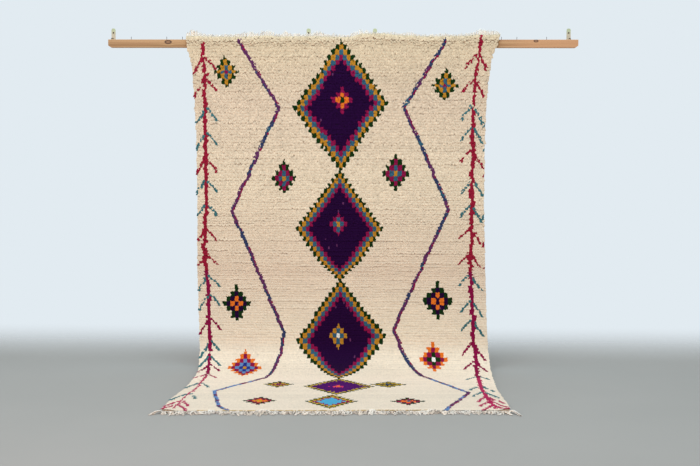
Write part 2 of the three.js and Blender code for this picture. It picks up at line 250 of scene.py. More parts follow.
# A crease is a low ridge from one place of the rug to another
CREASES = table(
    "across along to_across to_along half rise",
    (-0.78, 0.05, -0.66, 0.42, 0.030, 0.0030),
    (0.77, 0.05, 0.67, 0.40, 0.028, 0.0030),
    (-0.40, 1.55, -0.30, 1.86, 0.050, 0.0025),
    (0.36, 1.50, 0.44, 1.84, 0.050, 0.0030),
    (-0.70, 1.70, -0.69, 2.10, 0.040, 0.0030),
    (0.73, 1.72, 0.72, 2.15, 0.040, 0.0035),
)
CREASE_BEYOND, CREASE_FULL = 0.15, 0.35
# A curl stands off the floor most at its own place, and not at all past its reach
CURLS = table(
    "across along reach rise",
    (-0.735, 2.672, 0.085, 0.009), (0.765, 2.672, 0.070, 0.008),
)


def swell_at(across, along, swell):
    full = smooth_step(along, SWELL_FROM, SWELL_FULL)
    fade = 1 - smooth_step(along, LYING_FROM - BEND_TOUCH, LYING_FROM)
    turn = 2 * np.pi * (across + swell["lean"] * along) / swell["width"] + swell["shift"]
    return swell["height"] * (0.5 + 0.5 * np.sin(turn)) * full * fade


def crease_at(across, along, crease):
    start = np.array([crease["across"], crease["along"]])
    run = np.array([crease["to_across"], crease["to_along"]]) - start
    share = ((across - start[0]) * run[0] + (along - start[1]) * run[1]) / (run @ run)
    begun = smooth_step(share, -CREASE_BEYOND, CREASE_FULL)
    ended = smooth_step(share, 1 - CREASE_FULL, 1 + CREASE_BEYOND)
    aside = np.hypot(across - start[0] - share * run[0], along - start[1] - share * run[1])
    return crease["rise"] * begun * (1 - ended) * hump(aside, crease["half"])


def curl_at(across, along, curl):
    away = np.hypot(across - curl["across"], along - curl["along"])
    return curl["rise"] * (1 - smooth_step(away, 0, curl["reach"]))


# %% A point of the rug
NEAR = 0.001


def path_at(along):
    """How far out and how high the path runs, as two rows."""
    return np.stack([np.interp(along, PATH_ALONG, PATH[:, axis]) for axis in (0, 1)])


def rug_point(across, along, height):
    """Carries places on the flat rug, with height above its back, to the shape it hangs in."""
    across, along, height = np.broadcast_arrays(across, along, height)
    out, up = path_at(along)
    run_out, run_up = path_at(along + NEAR) - path_at(along - NEAR)
    run = np.hypot(run_out, run_up)
    lying = np.clip((along - LYING_FROM) / (RUG_LENGTH - LYING_FROM), 0, 1)
    raised = 1 - smooth_step(along, HEM_END, HEM_END + RAIL_HEIGHT * 2)
    lift = read(LIFT, across, "lift") * raised
    off = height
    for relief_at, rows in ((swell_at, SWELLS), (crease_at, CREASES), (curl_at, CURLS)):
        off = off + sum(relief_at(across, along, row) for row in rows)
    past = read(FRONT, across, "past") * lying
    y = -(out + past - run_up / run * off)
    z = up + lift + run_out / run * off
    return np.stack([across, y, z], axis=-1)


def edge_at(side, along):
    """The place across the rug of its left edge (side -1), its right edge (1) or between."""
    left = read(EDGES, along, "left")
    right = read(EDGES, along, "right")
    return np.where(side < 0, side * left, side * right)


print("hem middle", rug_point(0.0, 0.0, 0.0).round(4), "front end", rug_point(0.0, RUG_LENGTH, 0.0).round(4))

# %% [markdown]
# ## The knots
#
# A weaver counts knots, so the pattern is counted too: 244 knots in each row, and a table
# that says where some of the rows lie, because the rows are beaten closer in some places
# than in others. Each knot gets the number of a dye. Nothing is painted in a picture: the
# figures are drawn by rules, on the same grid as on the loom.

# %% The grid of knots
KNOTS = 244
ROW_PLACES = table(
    "row along",
    (0, 0.000), (5, 0.051), (27, 0.349), (49, 0.651), (53, 0.710), (75, 0.981), (89, 1.162),
    (97, 1.225), (101, 1.270), (123, 1.546), (145, 1.905), (149, 1.969), (183, 2.324),
    (209, 2.626), (213, RUG_LENGTH),
)
ROWS = ROW_PLACES[-1]["row"]
row_edges = read(ROW_PLACES, np.arange(ROWS + 1), "along")
row_along = (row_edges[:-1] + row_edges[1:]) / 2
row_pitch = np.diff(row_edges)
knot_side = (np.arange(KNOTS) + 0.5) / KNOTS * 2 - 1
knot_across = edge_at(knot_side[None, :], row_along[:, None])
knot_pitch = (edge_at(1.0, row_along) - edge_at(-1.0, row_along)) / KNOTS


def row_at(along):
    return int(np.searchsorted(row_edges, along) - 1)


def knot_at(across, row):
    return int(np.abs(knot_across[row] - across).argmin())


print("knots", ROWS * KNOTS, "pitch across", knot_pitch.mean().round(5), "along", row_pitch.mean().round(5))

# %% [markdown]
# The dyes are written as the eye sees them (red, green and blue from 0 to 255) and turned
# into the linear light that shaders work with. The wool is hand-dyed, so later each knot is
# made a little lighter or darker than its neighbour. The undyed cream is given along the rug:
# it is darker and yellower near the rail and paler lower down, which is painted shade on the
# hem and upper part and painted light lower down, towards the part that lies on the floor.

# %% The dyes
DYES = {
    "cream": (242, 219, 189),
    "green": (20, 50, 16),
    "amber": (190, 131, 40),
    "teal": (52, 95, 117),
    "crimson": (140, 19, 68),
    "madder": (155, 28, 53),
    "raspberry": (180, 42, 88),
    "petrol": (64, 114, 118),
    "aubergine": (36, 5, 50),
    "orange": (233, 118, 38),
    "plum": (100, 50, 92),
    "indigo": (54, 64, 98),
    "sky": (78, 163, 198),
    "navy": (30, 48, 130),
    "violet": (78, 14, 98),
    "rose": (232, 60, 110),
    "lemon": (192, 160, 50),
    "ivory": (244, 240, 230),
    "straw": (206, 176, 132),
    "steel_blue": (100, 134, 182),
}
DYE_NUMBER = {name: number for number, name in enumerate(DYES)}


def linear(red, green, blue):
    """A colour as the eye sees it, from 0 to 255, as linear light from 0 to 1."""
    share = np.array([red, green, blue]) / 255
    return np.where(share <= 0.04045, share / 12.92, ((share + 0.055) / 1.055) ** 2.4)


# Cream along the rug with painted light and shade in it: darker at the hem and upper part, lighter lower
# down
CREAM_WITH_PAINTED_LIGHT = table(
    "along red green blue",
    (0.00, 217, 195, 163), (0.05, 223, 200, 167), (0.33, 229, 205, 177), (0.75, 240, 220, 190),
    (1.20, 235, 213, 187), (1.50, 243, 228, 203), (1.97, 250, 230, 207), (2.35, 233, 216, 194),
)
cream_with_painted_light = linear(*[read(CREAM_WITH_PAINTED_LIGHT, row_along, part) for part in ("red", "green", "blue")]).T
dye_light = np.array([linear(*seen) for seen in DYES.values()])
pattern = np.full((ROWS, KNOTS), DYE_NUMBER["cream"])
leaning = np.zeros((ROWS, KNOTS))
print("dyes", len(DYES))

# %% [markdown]
# ### Lozenges
#
# Every lozenge on the rug is the same thing: cells of three knots by two rows, counted from
# the middle one. A cell's number of steps sideways plus its steps along the rug is its ring,
# and each ring has one dye. The outermost cells lose a corner knot, which gives the toothed
# edge. `leaning` notes how many knots each knot's yarn leans to the right, because the knots
# of a cell lean together into a little clump.

# %% Lozenges by counting
CELL_KNOTS, CELL_ROWS = 3.0, 2.0
TOOTH_CHANCE = 0.8
# A knot this share of a cell from its middle is a corner knot, and one just there counts too
CORNER_FROM, NUDGE = 0.3, 1e-6
CLUMP = 1.1
rng = np.random.default_rng(11)


def draw_lozenge(across, along, dyes, wide=CELL_KNOTS, tall=CELL_ROWS, tilt=0, field=None, mixed=0.0):
    """A lozenge round (across, along), in cells of wide knots by tall rows.

    dyes names a dye for each ring, from the middle. Its left end lies tilt rows lower, field
    names a dye that isn't clumped, and mixed is the share of knots that took the dye of the
    ring beside theirs.
    """
    numbers = np.array([DYE_NUMBER[dye] for dye in dyes.split()])
    rings = len(numbers) - 1
    middle_row = row_at(along)
    middle_knot = knot_at(across, middle_row)
    first_row = middle_row - round(rings * tall)
    counted, knots = np.mgrid[0 : round((2 * rings + 1) * tall), 0:KNOTS]
    steps_along = np.floor(counted / tall).astype(int) - rings
    place = (knots - middle_knot) / wide
    steps_across = np.floor(place + 0.5).astype(int)
    rows = first_row + counted - np.round(tilt * steps_across / rings).astype(int)
    ring = np.abs(steps_across) + np.abs(steps_along)
    in_cell = place - steps_across
    second_row = counted / tall % 1 >= 0.5
    outer_knot = np.abs(in_cell * wide + NUDGE) > wide * CORNER_FROM
    outer_side = np.sign(in_cell) == np.sign(steps_across)
    tooth_row = np.where(steps_along <= 0, second_row, ~second_row)
    lost = (ring == rings) & outer_knot & outer_side & tooth_row & (rng.random(ring.shape) < TOOTH_CHANCE)
    lost |= (ring == rings) & (steps_across == 0) & outer_knot & ~tooth_row
    painted = (ring <= rings) & ~lost & (rows >= 0) & (rows < ROWS)
    strayed = (rng.random(ring.shape) < mixed) * rng.choice([-1, 1], ring.shape)
    dye = numbers[np.clip(ring + strayed, 0, rings)]
    pattern[rows[painted], knots[painted]] = dye[painted]
    clumped = painted & (numbers[np.minimum(ring, rings)] != DYE_NUMBER.get(field, -1))
    leaning[rows[clumped], knots[clumped]] = -CLUMP * in_cell[clumped]


BORDER = "crimson teal amber green"
GREAT_FIELD = 9
GREAT_LOZENGES = table(
    "across along wide tilt",
    (-0.006, 0.349, 3.2, 1.3),
    (-0.012, 0.981, 3.0, 0.3),
    (-0.004, 1.546, 3.05, 0.8),
)
FLOWERS = table(
    "across along wide dyes",
    (0.002, 0.318, 3.6, "green orange crimson"),
    (-0.016, 0.950, 3.1, "amber teal crimson"),
    (-0.016, 1.530, 3.1, "ivory teal amber"),
)
for great in GREAT_LOZENGES:
    draw_lozenge(**great, dyes="aubergine " * GREAT_FIELD + BORDER, field="aubergine")
for flower in FLOWERS:
    draw_lozenge(**flower)
print("great lozenges", len(GREAT_LOZENGES))

# %% [markdown]
# The small ones use the same rule with fewer rings, mostly four. In those near the front
# end, which lie on the floor, the weaver mixed the dyes more.

# %% Small lozenges
SMALL_LOZENGES = table(
    "across along wide tall dyes",
    (-0.592, 0.160, CELL_KNOTS, 1.75, BORDER),
    (0.525, 0.236, 3.3, 1.75, BORDER),
    (-0.297, 0.717, CELL_KNOTS, 1.9, "amber teal crimson green"),
    (0.276, 0.683, 3.4, CELL_ROWS, "amber teal crimson green"),
    (-0.541, 1.366, 3.5, 2.2, "aubergine orange aubergine green"),
    (0.499, 1.345, 3.6, 2.3, "aubergine orange aubergine green"),
    (-0.485, 1.755, 3.3, CELL_ROWS, "amber navy steel_blue crimson orange"),
    (0.475, 1.672, 3.4, CELL_ROWS, "ivory green crimson orange"),
)
for small in SMALL_LOZENGES:
    draw_lozenge(**small)
MIXED = 0.22
FLOOR_LOZENGES = table(
    "across along wide field dyes",
    (0.003, 2.146, 3, "violet", "orange rose " + "violet " * 6 + "lemon green"),
    (-0.016, 2.483, 3, "sky", "sky " * 4 + "crimson lemon green"),
    (-0.283, 2.095, 3.6, "green", "plum crimson lemon green"),
    (0.242, 2.092, 4, "green", "teal aubergine lemon green"),
    (-0.338, 2.466, 3.6, "green", "lemon orange crimson green"),
    (0.328, 2.483, 3.5, "green", "teal orange crimson green"),
)
for low in FLOOR_LOZENGES:
    draw_lozenge(**low, mixed=MIXED)
print("small lozenges", len(SMALL_LOZENGES) + len(FLOOR_LOZENGES))

# %% [markdown]
# ### Zigzags, trunks and twigs
#
# Lines on a knotted cloth are steps from row to row. A line is a short list of turning
# points, and each row is given the knots next to the line. Two zigzags change their dye as
# the weaver's yarn ran out. Two red trunks carry pairs of twigs that hang down on both
# sides. Where a line runs aslant, its knots lean along it, so that it doesn't look like a
# stair.

# %% Zigzags
ZIGZAGS = [
    table(
        "along across",
        (0.030, -0.525), (0.366, -0.323), (0.894, -0.563), (1.522, -0.296), (1.793, -0.338),
        (1.948, -0.364), (2.272, -0.566), (2.596, -0.502), (2.676, -0.449),
    ),
    table(
        "along across",
        (0.022, 0.534), (0.360, 0.318), (0.879, 0.550), (1.118, 0.441), (1.505, 0.271),
        (1.815, 0.389), (2.297, 0.616), (2.676, 0.490),
    ),
]
FLOOR_FROM = 1.95
LINE_WOBBLE = 0.003
PLUM_UNDER, INDIGO_UNDER, FLOOR_PLUM_UNDER = 0.2, 0.8, -0.35
LEFT_INDIGO, RIGHT_CRIMSON = 0.45, 0.42


def line_knot(line, row, aside=0.0):
    return knot_at(read(line, row_along[row], "across") + aside * LINE_WOBBLE, row)


def line_lean(line, row):
    """How many knots a line moves to the right from one row to the next."""
    move = read(line, row_edges[row + 1], "across") - read(line, row_edges[row], "across")
    return move / knot_pitch[row]


for number, zigzag in enumerate(ZIGZAGS):
    tone = drift(ROWS, step=5, seed=20 + number)
    wobble = drift(ROWS, step=2, seed=30 + number)
    for row in range(row_at(zigzag[0]["along"]), ROWS):
        body = "plum" if tone[row] < PLUM_UNDER else "indigo" if tone[row] < INDIGO_UNDER else "teal"
        if row_along[row] > FLOOR_FROM:
            body = "plum" if tone[row] < FLOOR_PLUM_UNDER else "steel_blue"
        left = "indigo" if rng.random() < LEFT_INDIGO else body
        right = "crimson" if rng.random() < RIGHT_CRIMSON else body
        knot = line_knot(zigzag, row, wobble[row])
        pattern[row, knot - 1 : knot + 2] = [DYE_NUMBER[dye] for dye in (left, body, right)]
        leaning[row, knot - 1 : knot + 2] = line_lean(zigzag, row)
print("zigzags", len(ZIGZAGS))

# %% Trunks and twigs
TRUNKS = [
    table(
        "along across full",
        (0.036, -0.713, -0.2), (0.183, -0.703, 0.0), (0.500, -0.698, 0.1), (0.834, -0.696, 0.2),
        (1.098, -0.706, 0.2), (1.332, -0.684, 0.2), (1.567, -0.683, 0.2), (1.839, -0.662, 0.1),
        (2.181, -0.662, -0.8), (2.509, -0.690, -0.8), (2.676, -0.690, -0.8),
    ),
    table(
        "along across full",
        (0.014, 0.709, -0.4), (0.163, 0.684, -0.1), (0.406, 0.670, 0.3), (0.828, 0.669, 0.4),
        (1.204, 0.664, 0.5), (1.452, 0.680, 0.2), (1.673, 0.691, 0.2), (1.980, 0.685, 0.1),
        (2.272, 0.683, 0.1), (2.626, 0.708, 0.3),
    ),
]
REDS = table(
    "from dye",
    (0.0, "madder"),
    (1.2, "crimson"),
    (1.9, "raspberry"),
)
TWIGS = table(
    "red petrol",
    (
        (0.108, 0.220, 0.624, 0.990, 1.114, 1.452, 1.734, 1.882, 2.482, 2.564),
        (0.373, 0.496, 0.736, 0.860, 1.233, 1.332, 1.573, 1.664, 2.084, 2.327),
    ),
    (
        (0.092, 0.218, 0.578, 0.972, 1.106, 1.573, 1.688, 2.394, 2.495, 2.584),
        (0.360, 0.462, 0.736, 0.870, 1.224, 1.354, 1.458, 1.876, 2.130, 2.273),
    ),
)
INNER_TWIG, OUTER_TWIG = table(
    "rows from to full gap lean",
    (5, 2.4, 9.4, 0.95, 0.02, 1.2),
    (6, 1.9, 8.0, 0.85, 0.03, 0.9),
)
OUTER_LATER = 0.010
TRUNK_DRIFT, TRUNK_HALF = 0.35, (0.3, 1.5)
FLOOR_TWIG_ROWS = 2


def red_at(along):
    return [red["dye"] for red in REDS if along >= red["from"]][-1]


def draw_trunk(trunk, seed):
    wobble = drift(ROWS, step=3, seed=seed)
    fullness = read(trunk, row_along, "full") + TRUNK_DRIFT * drift(ROWS, step=16, seed=seed + 5)
    for row in range(row_at(trunk[0]["along"]), ROWS - 2):
        knot = line_knot(trunk, row, wobble[row])
        left, right = np.round(rng.uniform(*TRUNK_HALF, 2) + fullness[row]).clip(0).astype(int)
        pattern[row, knot - left : knot + right + 1] = DYE_NUMBER[red_at(row_along[row])]


def draw_twig(trunk, along, side, shape, dye):
    first = row_at(along)
    thick = FLOOR_TWIG_ROWS if along > FLOOR_FROM else 1
    for step in range(shape["rows"]):
        row = min(first + step * thick, ROWS - 1)
        offset = shape["from"] + (shape["to"] - shape["from"]) * step / (shape["rows"] - 1)
        knot = line_knot(trunk, row) + side * int(round(offset))
        if rng.random() < shape["gap"]:
            continue
        knots = [knot, knot - side] if rng.random() < shape["full"] else [knot]
        pattern[row : row + thick, knots] = DYE_NUMBER[red_at(row_along[row]) if dye == "red" else dye]
        leaning[row : row + thick, knots] = side * shape["lean"]


for number, (trunk, twigs) in enumerate(zip(TRUNKS, TWIGS)):
    draw_trunk(trunk, 40 + number)
    inner = 1 if number == 0 else -1
    for dye, places in twigs.items():
        for along in places:
            draw_twig(trunk, along, inner, INNER_TWIG, dye)
            draw_twig(trunk, along + OUTER_LATER, -inner, OUTER_TWIG, dye)
print("twigs", sum(len(places) for twigs in TWIGS for places in twigs.values()) * 2)

# %% [markdown]
# A few stray knots make it look made by hand: plum flecks in the dark fields and a broken
# row of straw-coloured yarn next to the front end. Then each knot gets its own tone. The
# table says how ruffled the wool is along the rug: the more it is, the more the tones differ,
# as painted light and shade of the ruffled pile, and later the more the pile stands about.

# %% Stray knots
FLECKS = 0.006
STRAW_FROM, STRAW_TO, STRAW_FULL = -0.58, 0.42, 0.8
ROW_DRIFT, ROW_TONE, KNOT_TONE = 0.02, 0.012, 0.040
RUFFLED = table(
    "along amount",
    (0.0, 1.9), (0.8, 1.6), (1.1, 1.0), (1.6, 0.7), (2.7, 0.7),
)
dark = pattern == DYE_NUMBER["aubergine"]
pattern[dark & (rng.random(pattern.shape) < FLECKS)] = DYE_NUMBER["plum"]
straw = (knot_across[-1] > STRAW_FROM) & (knot_across[-1] < STRAW_TO) & (rng.random(KNOTS) < STRAW_FULL)
pattern[-1, straw] = DYE_NUMBER["straw"]

row_tone = 1 + ROW_DRIFT * drift(ROWS, step=3, seed=50) + ROW_TONE * rng.standard_normal(ROWS)
ruffled = read(RUFFLED, row_along, "amount")[:, None]
# The random tone of each knot spreads more where the pile is ruffled: painted light and shade of the ruffled
# pile
tone = row_tone[:, None] * (1 + KNOT_TONE * ruffled * rng.standard_normal(pattern.shape))
undyed = (pattern == DYE_NUMBER["cream"])[..., None]
knot_light = np.where(undyed, cream_with_painted_light[:, None], dye_light[pattern])
knot_light = np.clip(knot_light * tone[..., None], 0, 1)
print("coloured knots", int((pattern != DYE_NUMBER["cream"]).sum()), "of", pattern.size)

# %% [markdown]
# ## Shader maths as plain sentences
#
# A finish is a graph of nodes. Instead of wiring each node by hand, a small class wraps a
# node's output, so that `1 - mask * 0.5` adds the two Math nodes it stands for. `Finish`
# makes any other node with one method: the type, its settings, then its sockets.


# %% Sockets that know maths
def both_ways(operation):
    """Two methods that add a Math node: the value on the left, and the value on the right."""
    def left(self, other):
        return self.finish.node("Math", {"operation": operation}, {0: self, 1: other})

    def right(self, other):
        return self.finish.node("Math", {"operation": operation}, {0: other, 1: self})

    return left, right


class Value:
    """The output of a node, which plain operators turn into Math nodes."""

    __add__, __radd__ = both_ways("ADD")
    __sub__, __rsub__ = both_ways("SUBTRACT")
    __mul__, __rmul__ = both_ways("MULTIPLY")
    __truediv__, __rtruediv__ = both_ways("DIVIDE")
    __pow__, __rpow__ = both_ways("POWER")

    def __init__(self, finish, socket):
        self.finish = finish
        self.socket = socket

    def axis(self, name):
        """One of the three numbers of a place."""
        return self.finish.node("SeparateXYZ", {}, {"Vector": self}, out=name)

    def wave(self):
        """Swings from 0 to 1 and back once in each whole step of the value."""
        return self.finish.node("Math", {"operation": "SINE"}, {0: self * (2 * np.pi)}) * 0.5 + 0.5

    def step(self, low, high):
        """Runs smoothly from 0 at low to 1 at high."""
        return self.finish.node(
            "MapRange",
            {"interpolation_type": "SMOOTHSTEP"},
            {"Value": self, "From Min": low, "From Max": high},
        )


# %% Materials, one node at a time
class Finish:
    """A material whose nodes are added one call at a time."""

    def __init__(self, name):
        self.material = bpy.data.materials.new(name)
        self.material.use_nodes = True
        self.tree = self.material.node_tree
        self.tree.nodes.clear()

    def node(self, kind, settings, sockets, out=0):
        node = self.tree.nodes.new("ShaderNode" + kind)
        for setting, value in settings.items():
            setattr(node, setting, value)
        for socket, value in sockets.items():
            if isinstance(value, Value):
                self.tree.links.new(value.socket, node.inputs[socket])
            else:
                node.inputs[socket].default_value = value
        return Value(self, node.outputs[out])

    def mix(self, share, first, second, blend="MIX"):
        """A colour between two, where each is a colour as the eye sees it or a node's output."""
        colours = [c if isinstance(c, Value) else (*linear(*c), 1.0) for c in (first, second)]
        sockets = {"Factor": share, 6: colours[0], 7: colours[1]}
        return self.node("Mix", {"data_type": "RGBA", "blend_type": blend}, sockets, out=2)

    def shade(self, colour, amount):
        """A colour made darker where the value amount is under 1."""
        grey = self.node("CombineColor", {}, {"Red": amount, "Green": amount, "Blue": amount})
        return self.mix(1.0, colour, grey, "MULTIPLY")

    def place(self, scale=(1, 1, 1)):
        """The point being shaded, in metres, each axis times its scale."""
        point = self.node("TexCoord", {}, {}, out="Object")
        return self.node("Mapping", {}, {"Vector": point, "Scale": scale})

    def noise(self, scale, detail=2.0, rough=0.5, place=None):
        """Soft noise from 0 to 1, with about so many bumps in a metre of the place."""
        place = place or self.place()
        sockets = {"Vector": place, "Scale": scale, "Detail": detail, "Roughness": rough}
        return self.node("TexNoise", {}, sockets)

    def stored(self, name, out="Fac"):
        """Values kept on the mesh under a name."""
        return self.node("Attribute", {"attribute_name": name}, {}, out=out)

    def surface(self, colour, roughness, relief=None, depth=0.001, **constants):
        """Ends the graph in one Principled shader; relief is a height that a Bump node reads."""
        sockets = {"Base Color": colour, "Roughness": roughness}
        if relief is not None:
            sockets["Normal"] = self.node("Bump", {}, {"Height": relief, "Distance": depth})
        sockets.update({name.replace("_", " "): value for name, value in constants.items()})
        shader = self.node("BsdfPrincipled", {}, sockets)
        output = self.tree.nodes.new("ShaderNodeOutputMaterial")
        self.tree.links.new(shader.socket, output.inputs["Surface"])
        print("finish", self.material.name, "nodes", len(self.tree.nodes))
        return self.material


# %% [markdown]
# ## Finish: the wool pile
#
# Hand-spun wool is dull, a little uneven, and catches light on its loose hairs. The dye of
# each knot is kept on the mesh, so the finish only reads it, darkens it towards the root
# where little light gets in, and adds a fine, fluffy relief. Sheen stands for the hairs.


# %% Wool
def make_wool():
    finish = Finish("knotted_wool")
    dye = finish.stored("dye", out="Color")
    reach = finish.stored("reach")
    cloudy = finish.noise(7.0, 3.0)
    hairs = finish.noise(900.0, 3.0, 0.65)
    lumps = finish.noise(260.0, 2.0, 0.6)
    depth = 0.84 + 0.16 * reach.step(0.0, 0.7)
    tone = depth * (0.95 + 0.10 * cloudy) * (0.90 + 0.10 * hairs + 0.10 * lumps)
    colour = finish.shade(dye, tone)
    return finish.surface(
        colour, 0.92, relief=hairs * 0.4 + lumps * 0.6, depth=0.0030,
        Sheen_Weight=0.02, Sheen_Roughness=0.5, Sheen_Tint=(1.0, 0.96, 0.9, 1.0), Specular_IOR_Level=0.05,
    )


WOOL = make_wool()

# %% [markdown]
# ## The pile
#
# Each knot shows as one lock of yarn. A lock is a small curved tile of four rows of points:
# its root, its belly, its front and its cut end, which lies on the roots of the next row.
# That is what makes the fine lines from row to row. All locks are made at once: arrays
# hold a place across, along and above the rug for each point, and `rug_point` carries them
# onto the hanging shape. In some rows the pile parts more than in others. It is more ruffled
# in the upper half, and over the rail it bristles.

# %% Where the pile parts
# Most rows stay closed: a random value is raised to a power, and then made larger
GAP_RARE, GAP_GAIN = 2.2, 1.6
# Along a row the pile parts by this share, more or less
GAP_SHARE, GAP_DRIFT = 0.55, 0.6
PARTED_FROM = 0.4
PARTED = table(
    "along amount",
    (0.00, 0.50), (0.15, 0.60), (0.30, 0.45), (0.85, 0.45), (1.00, 0.80), (1.30, 0.90),
    (1.45, 0.35), (1.60, 0.12), (2.70, 0.10),
)
parting = np.stack([drift(KNOTS, step=18, seed=1000 + row) for row in range(ROWS)])
row_gap = np.random.default_rng(3).random(ROWS) ** GAP_RARE * GAP_GAIN
open_rows = row_gap.clip(0, 1) * read(PARTED, row_along, "amount")
gap = open_rows[:, None] * np.clip(GAP_SHARE + GAP_DRIFT * parting, 0, 1)
print("parted rows", int((open_rows > PARTED_FROM).sum()))

# %% One lock for each knot
LOCK_RINGS = table(
    "share height half thick",
    (0.00, 0.0062, 0.70, 0.0018), (0.40, 0.0084, 0.84, 0.0025), (0.80, 0.0088, 0.80, 0.0023),
    (1.00, 0.0080, 0.60, 0.0010),
)
LOCK_CORNERS = (-1, 0, 1)
# Length and width: how far a lock lies over the next row, and by what factors locks differ
LOCK_OVERLAP, LOCK_LENGTHS, LOCK_WIDTHS = 1.45, (0.88, 1.12), (0.85, 1.1)
# Sideways lean of each lock, of a few together, and how it grows from root to end
LOCK_SWAY, LOCK_DRIFT, LOCK_BEND = 0.18, 0.35, 1.3
# Place of the root in its row, as shares of the pitch
LOCK_BACK, LOCK_SHIFT, SHIFT_MOST, ROW_WAVE = 0.45, 0.12, 0.3, 0.12
# Turn about its own length, which moves its ridge and thickens one edge
LOCK_TURN, TURN_SHIFT, EDGE_THICK = 0.35, 0.5, 0.25
# Height: of any lock, of lines that run aslant, and where the pile parts
LOCK_RISE = 0.00030
LINE_LEAN, LINE_RISE = 0.6, 0.0009
GAP_LIFT, GAP_SHORTEN = 0.0040, 0.30
# The part of its knot's square that a lock takes up in the flat map
MAP_HALF, MAP_ROOT, MAP_LONG = 0.35, 0.15, 0.7
FUZZY_ROWS = table(
    "along rise",
    (0.008, 0.0000), (0.024, 0.0060), (0.034, 0.0050), (0.058, 0.0000),
)


def make_locks(rows):
    """Points, faces, dye, reach and flat places of the locks of some rows of knots."""
    shape = (len(rows), KNOTS)
    draw = np.random.default_rng(100 + rows[0])
    pitch, step = knot_pitch[rows][:, None], row_pitch[rows][:, None]
    leans, parted, ruffle = leaning[rows], gap[rows], ruffled[rows]
    together = np.stack([drift(KNOTS, step=3, seed=2000 + row) for row in rows])
    waving = np.stack([drift(KNOTS, step=9, seed=3000 + row) for row in rows])
    lean = draw.normal(0, LOCK_SWAY, shape) * ruffle + LOCK_DRIFT * together * (leans == 0)
    lean = (lean + leans) * pitch
    long = step * LOCK_OVERLAP * draw.uniform(*LOCK_LENGTHS, shape) * (1 - GAP_SHORTEN * parted)
    rise = draw.normal(0, LOCK_RISE, shape) + GAP_LIFT * parted
    rise = rise + read(FUZZY_ROWS, row_along[rows], "rise")[:, None] * draw.random(shape)
    rise = rise + LINE_RISE * (np.abs(leans) > LINE_LEAN)
    turn = np.sin(draw.normal(0, LOCK_TURN, shape))
    moved = draw.normal(0, LOCK_SHIFT, shape).clip(-SHIFT_MOST, SHIFT_MOST) * ruffle + ROW_WAVE * waving
    start = row_along[rows][:, None] + step * (moved - LOCK_BACK)
    across = knot_across[rows] + draw.normal(0, LOCK_SHIFT, shape).clip(-SHIFT_MOST, SHIFT_MOST) * pitch
    points, reach, flat = [], [], []
    for ring in LOCK_RINGS:
        share = ring["share"]
        half = ring["half"] * pitch * draw.uniform(*LOCK_WIDTHS, shape)
        middle = across + lean * share**LOCK_BEND
        down = (np.arange(len(rows)) + MAP_ROOT + MAP_LONG * share) / len(rows)
        for corner in LOCK_CORNERS:
            aside = half * (corner or TURN_SHIFT * turn)
            thick = ring["thick"] * (EDGE_THICK + EDGE_THICK * turn * corner if corner else 1.0)
            height = ring["height"] + rise * share + thick
            points.append(rug_point(middle + aside, start + long * share, height))
            reach.append(np.full(shape, share))
            spread = (np.arange(KNOTS) + 0.5 + MAP_HALF * corner) / KNOTS
            flat.append(np.stack(np.broadcast_arrays(spread[None, :], 1 - down[:, None]), axis=-1))
    wide, corners = len(LOCK_CORNERS), len(points)
    first = np.arange(len(rows) * KNOTS)[:, None] * corners
    starts = [level + side for level in range(0, corners - wide, wide) for side in range(wide - 1)]
    faces = np.concatenate([first + np.array([a, a + wide, a + wide + 1, a + 1]) for a in starts])
    dye = np.repeat(knot_light[rows].reshape(-1, 3), corners, axis=0)
    points, reach, flat = [np.stack(parts, axis=2) for parts in (points, reach, flat)]
    return points.reshape(-1, 3), faces, dye, reach.ravel(), flat.reshape(-1, 2)


BANDS = 5
band_edges = np.linspace(0, ROWS, BANDS + 1).astype(int)
for number in range(BANDS):
    rows = np.arange(band_edges[number], band_edges[number + 1])
    points, faces, dye, reach, flat = make_locks(rows)
    band = make_piece(f"pile_band_{number + 1}", points, [faces], WOOL)
    store(band, "dye", "POINT", dye)
    store(band, "reach", "POINT", reach)
    store_map(band, "OFBake", flat)
print("locks of pile", ROWS * KNOTS)

# %% [markdown]
# ## The woven ground
#
# Under the pile lies a thin, firm weave, which shows from behind, where each knot is a small
# loop in its dye. It is one closed sheet: the back has a face for each knot, the side under
# the pile has a face for four, and narrow faces join them along the rim. The ribs of the back
# are under a millimetre high, so they are relief in the finish, and the finish darkens the
# hollows between them as painted shade.


# %% Finish: the woven back
def make_weave():
    finish = Finish("woven_back")
    dye = finish.stored("dye", out="Color")
    counted = finish.node("UVMap", {"uv_map": "knots"}, {})
    loops = counted.axis("X").wave()
    ribs = counted.axis("Y").wave()
    hairs = finish.noise(700.0, 2.0, 0.6)
    relief = loops * 0.35 + ribs * 0.65 + hairs * 0.35
    # Darker in the hollows between ribs and loops: painted shade
    tone = 0.62 + 0.28 * ribs + 0.12 * loops + 0.1 * hairs
    return finish.surface(finish.shade(dye, tone), 0.95, relief=relief, depth=0.0012, Sheen_Weight=0.1)


WEAVE = make_weave()

# %% The ground as a closed sheet
GROUND_THICK = 0.006
COARSE = 2
# The side under the pile, which shows between the locks, is darkened a little: painted shade
BACK_TONE, UNDER_PILE_SHADE = 0.8, 0.95
MAP_MARGIN, MAP_SIDE = 0.005, 0.485


def grid_faces(ids):
    """Four-cornered faces over a grid of the numbers of points."""
    return np.stack([ids[:-1, :-1], ids[:-1, 1:], ids[1:, 1:], ids[1:, :-1]], axis=-1).reshape(-1, 4)


def sheet_points(sides, places, height):
    return rug_point(edge_at(sides[None, :], places[:, None]), places[:, None], height).reshape(-1, 3)


def rim_faces(fine, coarse):
    """Faces with three fine points and two coarse ones, along one side of the sheet."""
    return np.stack([fine[:-1:COARSE], fine[1::COARSE], fine[2::COARSE], coarse[1:], coarse[:-1]], axis=-1)


